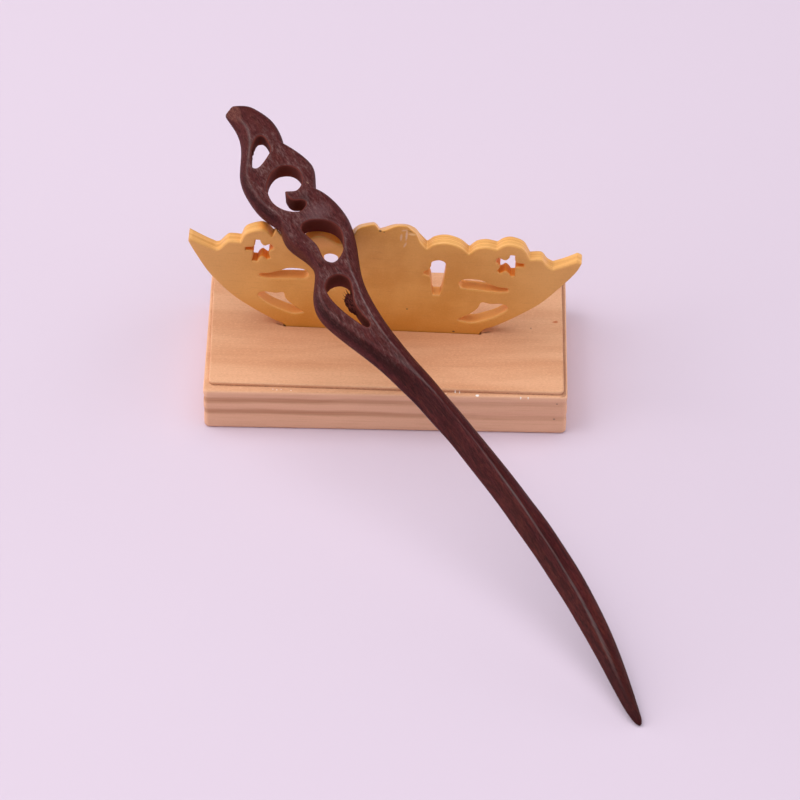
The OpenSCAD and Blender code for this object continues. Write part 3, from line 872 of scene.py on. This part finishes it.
def make_block(wood):
    signs = np.array([(-1, -1), (1, -1), (1, 1), (-1, 1)])
    half = np.array([BLOCK_WIDTH, BLOCK_DEPTH]) / 2
    outer = rounded_box(signs * half, CORNER_ROUND)
    inner = rounded_box(signs * (half - np.array(FIELD_INSETS)), CORNER_ROUND)
    steps = steps_of(outer, SIDE_SPACING)
    outer, inner = divided(outer, steps), divided(inner, steps)
    skin = Skin()
    rows = []
    for height, inset, share in BLOCK_ROWS:
        narrowed = outer * (half - inset) / half
        ring = narrowed * (1 - share) + inner * share
        rows.append(skin.add(np.insert(ring, 2, height, axis=1)))

    slot = np.array([(SLOT_X[0], -SLOT_GAP), (SLOT_X[1], -SLOT_GAP),
                     (SLOT_X[1], PLAQUE_THICK + SLOT_GAP), (SLOT_X[0], PLAQUE_THICK + SLOT_GAP)])
    turn = np.array(Matrix.Rotation(PLAQUE_YAW, 2))
    slot = divided(slot, steps_of(slot, SLOT_SPACING)) @ turn.T + (0, PLAQUE_FRONT)
    flat, triangles, distances, rings = filled(
        [turned_so(inner, True), turned_so(slot, False)], FIELD_ROWS, FIELD_SPACING
    )
    down = np.maximum(rounding(distances[:, 0], FIELD_ROUND), rounding(distances[:, 1], SLOT_ROUND))
    field = skin.add(np.insert(flat, 2, FIELD_TOP - down, axis=1), triangles)
    floor_at = FIELD_TOP - FOOT_DEPTH - SLOT_GAP
    slot_floor = skin.add(np.insert(flat[rings[1]], 2, floor_at, axis=1))
    skin.join([*rows, field[rings[0]]])
    skin.join([field[rings[1]], slot_floor])
    skin.faces += [slot_floor.tolist(), rows[0][::-1].tolist()]
    return piece_from("slotted_block", skin, Matrix.Identity(4), wood, "stand_base")


# Finishes

def dark_wood():
    """Dense red-brown wood, nearly black, rubbed with oil, with short open pores."""
    finish = Finish("dark_oiled_wood")
    along = finish.at("X")
    head = along.above(90.0, 118.0)
    shaft = 1.0 - head * 0.65
    point = along.above(24.0, 6.0)
    depth, rough_wood = finish.mark("depth"), finish.mark("rough")
    wall = depth.above(-0.26, -0.06)
    # A thin highlight painted round the openings' rims
    rim = depth.above(-0.7, -0.4) * depth.above(-0.14, -0.3)
    facet = finish.mark("facet") * along.above(167.0, 172.5)

    streaks = finish.noise((0.05, 0.9, 0.9), 4, 0.6, 0.3)
    red = finish.noise((0.03, 0.45, 0.45), 3, 0.5).above(0.45, 0.68)
    pores = finish.noise((0.3, 4.5, 4.5), 2, 0.5).above(0.56, 0.68)
    fine = finish.noise((1.1, 5, 5), 3, 0.6)
    clouds = finish.noise((0.3, 0.75, 0.75), 5, 0.7, 0.4)
    mottle = finish.noise((0.45, 1.7, 1.7), 3, 0.6)
    grit = finish.noise((0.9, 2.6, 2.6), 3, 0.7)
    dust = clouds.above(0.44, 0.64) * (0.3 + grit.above(0.4, 0.6) * 1.3) * finish.mark("flat")
    dust = dust * along.above(170.0, 160.0)

    colour = finish.layered(
        finish.mix(streaks.above(0.3, 0.7), (0.045, 0.0076, 0.0092), (0.084, 0.015, 0.0165)),
        (head * 0.55, (0.094, 0.0185, 0.0185)),
        (red * 0.5, (0.085, 0.017, 0.012)),
        (clouds.above(0.46, 0.32) * 0.35, (0.03, 0.007, 0.008)),
        (mottle.above(0.5, 0.36) * shaft * 0.45, (0.026, 0.006, 0.0065)),
        (mottle.above(0.54, 0.68) * shaft * 0.4, (0.125, 0.028, 0.019)),
        (grit.above(0.48, 0.32) * head * 0.5, (0.024, 0.0065, 0.007)),
        (grit.above(0.53, 0.7) * head * 0.4, (0.2, 0.062, 0.052)),
        (point * 0.45, (0.028, 0.005, 0.0055)),
        # painted shade in the hollow of the left slope
        (finish.mark("hollow_shade") * 0.75, (0.016, 0.0045, 0.005)),
        (fine.above(0.5, 0.3) * 0.4, (0.014, 0.004, 0.0045)),
        (fine.above(0.58, 0.75) * (0.12 + head * 0.18), (0.2, 0.08, 0.075)),
        (pores * 0.5, (0.012, 0.0045, 0.005)),
        (dust * 0.2, (0.19, 0.085, 0.08)),
    )
    # Places of their own: the second opening's hook darker, a sheen painted on the bridge below it, and
    # warm light bounced from the plaque painted on the left slope
    hook = finish.spot((144.4, -2.7, 3), (2.8, 2, 2), -30, "Z", 0.7, 0.5)
    bridge_sheen = finish.spot((139.9, -3, 3), (3.2, 5, 2), 0, "Z", 0.8, 0.8)
    slope_bounce_light = finish.spot((136.4, 4.9, 1), (7.2, 1.1, 2.6), 13, "Z", 0.8, 0.8)
    pale_pore = finish.spot((147.6, -5.4, 3), (0.5, 0.16, 0.6), 20, "Z")
    colour = finish.layered(
        colour,
        (hook * 0.6, (0.035, 0.009, 0.01)),
        # painted sheen on the bridge
        (bridge_sheen * 0.28, (0.2, 0.12, 0.13)),
        # painted warm light bounced from the plaque onto the left slope
        (slope_bounce_light * 0.4, (0.2, 0.056, 0.016)),
        # painted highlight round the openings' rims
        (rim * 0.16, (0.17, 0.1, 0.095)),
        (wall * 0.85, (0.18, 0.042, 0.034)),
        (rough_wood * fine.above(0.62, 0.42) * 0.85, (0.02, 0.006, 0.006)),
        (facet * (0.25 + fine.above(0.42, 0.62) * 0.5), (0.18, 0.066, 0.05)),
        (pale_pore * 0.6, (0.36, 0.2, 0.14)),
    )
    rubbed = finish.mark("ridge") * (0.16 + streaks * 0.34 + head * 0.26)
    sheen = (rubbed + dust * 0.12) * (1.0 - wall) * (1.0 - facet * 0.6) * (1.0 - pores * 0.4)
    rough = 0.3 + head * 0.12 + streaks * 0.1 + wall * 0.3
    finish.set(
        Base_Color=colour, Roughness=rough, Specular_IOR_Level=0.06,
        Coat_Weight=sheen, Coat_Roughness=0.34, Coat_IOR=1.9,
    )
    finish.bump(streaks * 0.4 + pores * -0.35 + fine * 0.3, 0.06, 0.8)
    return finish.material


# Spots on the plaque, each: strength, place, sizes, turn, how soft, how ragged
CREST_STROKES = (
    (0.8, (3.55, 0, 29.9), (0.35, 0.5, 1.4), 3, 0.6, 0.6),
    (1, (4.75, 0, 30.6), (0.34, 0.5, 2.1), 2, 0.6, 0.6),
    (0.8, (4.5, 0, 27.6), (0.3, 0.5, 1.1), 20, 0.6, 0.6),
    (0.8, (4.2, 0, 32.1), (0.9, 0.5, 0.28), -12, 0.6, 0.5),
)
PLAQUE_STAINS = (
    (1, (5.7, 0, 7.25), (0.3, 0.5, 0.28), 0, 0.7, 0.4),
    (0.6, (5.5, 0, 31.9), (0.9, 0.5, 0.2), 22, 0.6, 0.4),
    (1, (16.8, 0, 0.9), (0.42, 0.6, 0.3), 0, 0.5, 0.4),
    (1, (-1.3, 0, 31.4), (0.45, 0.8, 0.35), 30, 0.7, 0.8),
    (1, (-0.4, 0.3, 31.2), (0.3, 0.8, 0.25), 0, 0.7, 0.8),
)


def honey_wood():
    """Smooth yellow-brown plaque under clear lacquer, paler and finely layered on its edge."""
    finish = Finish("honey_lacquered_wood")
    across, back, up = finish.at("X"), finish.at("Y"), finish.at("Z")
    outward = (across * across).above(120.0, 1500.0)
    off_face = back.above(0.02, 0.35)
    on_edge = back.above(0.12, 0.6) * back.above(3.25, 2.9)
    wall = finish.mark("opening") * back.above(0.1, 0.5)
    star = wall * up.above(18.4, 19.2) * (across * across).above(400.0, 500.0)

    clouds = finish.noise((0.09, 0.09, 0.09), 3, 0.5)
    fibre = finish.noise((0.25, 2.5, 1.6), 3, 0.55, 0.2)
    layers = finish.noise((0.03, 3.2, 0.03), 2, 0.6)
    speck = finish.noise((2.2, 2.2, 2.2), 3, 0.7)
    face = finish.layered(
        finish.mix(clouds.above(0.35, 0.65), (0.7, 0.3, 0.057), (0.8, 0.375, 0.09)),
        (outward * 0.6, (0.83, 0.44, 0.145)),
        (up.above(12.0, -2.0) * 0.6, (0.66, 0.225, 0.016)),
        (fibre.above(0.5, 0.8) * 0.2, (0.5, 0.2, 0.045)),
    )
    edge = finish.mix(layers.above(0.35, 0.65), (0.72, 0.33, 0.08), (0.88, 0.47, 0.16))

    # Painted light and shade round the stick: light painted on the face that the stick's third opening
    # shows, shadow painted on the top edge under the stick, shade painted on the lobe at the stick's left,
    # and in the notch beside it shade painted over its own brown burn marks
    lit = finish.spot((-14.4, 0, 26.9), (5.5, 1.2, 3.6), 0, "Y", 0.8) * back.above(0.5, 0.1)
    stick_shadow_tint = finish.spot((-14.4, 1.8, 28), (6.8, 4.5, 3.6), 0, "Y", 0.3) * on_edge
    shaded = finish.spot((-26.9, 1.8, 29.4), (3.2, 3, 2.6), 0, "Y", 0.7, 0.3) * on_edge
    notch = finish.spot((-26.1, 1.8, 27.9), (1.5, 3, 1.5), 0, "Y", 0.6, 0.5) * on_edge
    crest_ledge = finish.spot((6, 0, 31), (1.1, 0.5, 0.4), 4, "Y", 0.5, 0.4)
    colour = finish.layered(
        finish.mix(off_face, face, edge),
        # painted glow: the openings' walls, and the stars' walls more, tinted deeper orange for light
        # through the wood and reflected between the walls
        (wall * 0.8, (0.9, 0.42, 0.115)),
        (star * 0.7, (0.86, 0.25, 0.01)),
        # painted light, painted shadow under the stick and painted shade on the lobe and notch, the notch
        # partly its own burn marks
        (lit * 0.75, (0.98, 0.46, 0.13)),
        (stick_shadow_tint * 0.95, (0.9, 0.25, 0.014)),
        (shaded * 0.85, (0.98, 0.33, 0.05)),
        (notch * (0.1 + speck.above(0.5, 0.6) * 0.45), (0.55, 0.15, 0.03)),
        (speck.above(0.52, 0.66) * 0.12, (0.95, 0.5, 0.2)),
        (speck.above(0.48, 0.34) * 0.12, (0.45, 0.2, 0.06)),
        (finish.spots("Y", CREST_STROKES) * 0.6, (0.83, 0.6, 0.46)),
        (crest_ledge * 0.75, (0.98, 0.66, 0.32)),
        (finish.spots("Y", PLAQUE_STAINS) * 0.8, (0.07, 0.03, 0.02)),
    )
    rough = 0.4 + clouds * 0.1 + layers * off_face * 0.15
    gloss = 0.6 * (1.0 - stick_shadow_tint) * (1.0 - notch) * (1.0 - wall * 0.6)
    finish.set(
        Base_Color=colour, Roughness=rough, Specular_IOR_Level=0.1,
        Coat_Weight=gloss, Coat_Roughness=0.45, Coat_IOR=1.5,
    )
    finish.bump(clouds * 0.5 + fibre * 0.15 + layers * off_face * 0.5, 0.1, 0.6)
    return finish.material


# Spots on the block, as on the plaque: painted shade in the open ends of the slot, with their brown burnt
# edges, and dark pores
SLOT_SHADE_AND_BURNS = (
    (1, (-25.1, 0.9, FIELD_TOP), (1.9, 0.45, 0.5), -25, 0.8, 0.7),
    (1, (23.2, -0.5, FIELD_TOP), (1.9, 0.4, 0.5), 12, 0.8, 0.7),
)
BLOCK_PORES = (
    (1, (33.6, 1.1, FIELD_TOP), (0.3, 0.3, 0.5), 0, 0.7, 0.5),
    (1, (39.6, -20.5, 9.8), (0.35, 0.5, 0.3), 0, 0.7, 0.5),
    (1, (39.1, -20.5, 4.8), (0.35, 0.5, 0.35), 0, 0.7, 0.5),
)
# White specks on the front ledge: x, y, radius
WHITE_SPECKS = (
    (16.1, -19.4, 0.22), (17.1, -19.5, 0.18), (31.2, -20.5, 0.24), (32.9, -20.5, 0.2),
    (14, -19.7, 0.15), (-37.4, -16.6, 0.25), (-25.9, -19.4, 0.16), (-25, -19.6, 0.18),
    (-24, -19.5, 0.15), (-21.7, -19.7, 0.17),
)


def band(value, foot, shoulder):
    """1 in a band of values, 0 past it, with a soft lower and upper border."""
    return value.above(*foot) * value.above(*shoulder)


def pale_wood():
    """Pale pinkish block, planed and sealed, with darker bands of growth along its front."""
    finish = Finish("pale_planed_wood")
    along, up = finish.at("X"), finish.at("Z")
    broad = finish.noise((0.018, 0.16, 0.3), 3, 0.5, 0.4)
    grain = finish.noise((0.05, 1.3, 1.3), 4, 0.6, 0.3)
    fibre = finish.noise((0.35, 6, 6), 2, 0.5)
    speck = finish.noise((1.6, 3.4, 3.4), 3, 0.7)
    lines = finish.noise((0.07, 1.5, 2.6), 4, 0.65, 0.2)

    # The bands of growth run along the sides in slow waves and fade to the right
    side = up.above(LEDGE_HEIGHT + 0.05, LEDGE_HEIGHT - 0.3)
    wavy = up + (finish.noise((0.05, 0.05, 0.05), 2) - 0.5) * 1.2
    upper = band(wavy - along * 0.008, (8.0, 9.2), (10.6, 9.6))
    lower = band(wavy + along * 0.006, (4.0, 5.0), (6.6, 5.5))
    bands = (upper + lower) * side * (0.3 + along.above(30.0, -20.0) * 0.5) * (0.35 + lines * 1.3)

    # Painted shade in the step between the ledge and the raised field, and at the step of the right end
    step = band(up, (LEDGE_HEIGHT, LEDGE_HEIGHT + 0.06), (12.5, 12.1))
    end_ledge = band(up, (LEDGE_HEIGHT - 0.1, LEDGE_HEIGHT - 0.05), (12.6, 12.1))
    end_ledge = end_ledge * along.above(40.0, 40.9)
    # Painted shadow and warm reflection on the field in front of the plaque's foot
    foot = finish.spot((0, -1.5, FIELD_TOP), (27, 5.5, 1), 0, "X", 0.9)
    rust = finish.spot((39.4, 3.4, FIELD_TOP), (0.9, 0.5, 0.5), 10, "Z", 0.6, 0.8)
    white = finish.spots("Z", [
        (1, (21.2, -20.2, LEDGE_HEIGHT), (0.5, 0.4, 0.5), 0, 0.5, 0.6),
        *((0.8, (x, y, LEDGE_HEIGHT + 0.05), (size, size, 1), 0, 0.5, 0.4) for x, y, size in WHITE_SPECKS),
    ])
    colour = finish.layered(
        finish.mix(broad.above(0.3, 0.7), (0.64, 0.31, 0.165), (0.75, 0.41, 0.24)),
        (grain.above(0.5, 0.8) * 0.22, (0.5, 0.23, 0.11)),
        (fibre.above(0.5, 0.75) * 0.16, (0.5, 0.25, 0.14)),
        (speck.above(0.52, 0.68) * 0.3, (0.92, 0.55, 0.33)),
        (speck.above(0.48, 0.32) * 0.3, (0.5, 0.23, 0.13)),
        (side * 0.6, (0.86, 0.5, 0.34)),
        (side * lines.above(0.5, 0.68) * 0.3, (0.6, 0.29, 0.15)),
        (bands, (0.5, 0.225, 0.115)),
        # painted shade in the step
        (step * (0.25 + speck.above(0.42, 0.6) * 0.5), (0.3, 0.11, 0.055)),
        # painted shadow and reflection before the plaque's foot
        (foot * 0.35, (0.62, 0.23, 0.07)),
        # painted shade in the slot's ends, with their burnt edges
        (finish.spots("Z", SLOT_SHADE_AND_BURNS) * 0.7, (0.17, 0.06, 0.03)),
        # painted shade at the right end's step
        (end_ledge * (0.3 + lines * 0.6), (0.34, 0.15, 0.085)),
        (rust * 0.9, (0.5, 0.12, 0.03)),
        (finish.spots("Z", BLOCK_PORES) * 0.6, (0.12, 0.05, 0.035)),
        (white, (0.95, 0.9, 0.86)),
    )
    finish.set(Base_Color=colour, Roughness=0.55 + grain * 0.15, Specular_IOR_Level=0.3)
    finish.bump(grain * 0.5 + fibre * 0.2 + bands * -0.5, 0.12, 0.7)
    return finish.material


# Floor, light and camera

# The camera: what it looks at and from how far, how it is turned, and its focal length
LOOK_AT = (3.32, -10.49, 0)
VIEW_DISTANCE = 891.8
VIEW_TURN = math.radians(-0.578)
VIEW_DOWN = math.radians(45.589)
VIEW_ROLL = math.radians(0.661)
FOCAL_PIXELS = 3809
SENSOR_WIDTH = 36
FAR_END = 20

FLOOR_HALF = 3.0
FLOOR_COLOUR = (0.693, 0.591, 0.709)
# Light of the room: from low down at both sides, from overhead, and from everywhere
SKY_COLOUR = (1.0, 0.985, 1.0)
SKY_SIDES = 2.4
SKY_TOP = 1.7
SKY_DIM = 0.22
# One soft lamp at the left: place and sides in metres, and watts
LAMP_AT = (-0.8, -0.1, 0.95)
LAMP_SIDE = 1.0
LAMP_POWER = 6.8
LAMP_COLOUR = (1.0, 0.97, 0.95)


def make_floor():
    mesh = bpy.data.meshes.new("floor")
    half = FLOOR_HALF
    corners = [(-half, -half, 0), (half, -half, 0), (half, half, 0), (-half, half, 0)]
    mesh.from_pydata(corners, [], [(0, 1, 2, 3)])
    floor = bpy.data.objects.new("floor", mesh)
    bpy.context.scene.collection.objects.link(floor)
    finish = Finish("pale_floor")
    finish.set(Base_Color=FLOOR_COLOUR, Roughness=0.9, Specular_IOR_Level=0.2)
    mesh.materials.append(finish.material)


def make_camera():
    turn, down, roll = VIEW_TURN, VIEW_DOWN, VIEW_ROLL
    forward = Vector((math.sin(turn) * math.cos(down), math.cos(turn) * math.cos(down), -math.sin(down)))
    level = Vector((math.cos(turn), -math.sin(turn), 0))
    upright = level.cross(forward)
    right = math.cos(roll) * level + math.sin(roll) * upright
    up = math.cos(roll) * upright - math.sin(roll) * level
    data = bpy.data.cameras.new("camera")
    data.sensor_width = SENSOR_WIDTH
    data.lens = FOCAL_PIXELS / PICTURE_PIXELS * SENSOR_WIDTH
    data.clip_end = FAR_END
    camera = bpy.data.objects.new("camera", data)
    bpy.context.scene.collection.objects.link(camera)
    place = Vector(LOOK_AT) * MM - forward * VIEW_DISTANCE * MM
    camera.matrix_world = Matrix.Translation(place) @ Matrix((right, up, -forward)).transposed().to_4x4()
    bpy.context.scene.camera = camera


def make_lamp():
    data = bpy.data.lights.new("left_softbox", "AREA")
    data.shape = "RECTANGLE"
    data.size = data.size_y = LAMP_SIDE
    data.energy = LAMP_POWER
    data.color = LAMP_COLOUR
    lamp = bpy.data.objects.new("left_softbox", data)
    bpy.context.scene.collection.objects.link(lamp)
    lamp.location = LAMP_AT
    lamp.rotation_euler = (-Vector(LAMP_AT)).to_track_quat("-Z", "Y").to_euler()


def make_lighting():
    world = bpy.data.worlds.new("world")
    world.use_nodes = True
    sky = Network(world.node_tree, "Background")
    facing = sky.node("ShaderNodeTexCoord", output="Generated")
    height = sky.along(facing, "Z")
    across = sky.along(facing, "X")
    sides = across.math("ABSOLUTE", across).above(0.65, 0.95)
    low = height.above(0.5, 0.35)
    overhead = height.above(0.76, 0.9)
    sky.set(Color=SKY_COLOUR, Strength=low * sides * SKY_SIDES + overhead * SKY_TOP + SKY_DIM)
    bpy.context.scene.world = world
    make_lamp()
    bpy.context.scene.view_settings.view_transform = "Standard"


make_camera()
make_lighting()
make_floor()
make_stick(dark_wood())
make_plaque(honey_wood())
make_block(pale_wood())
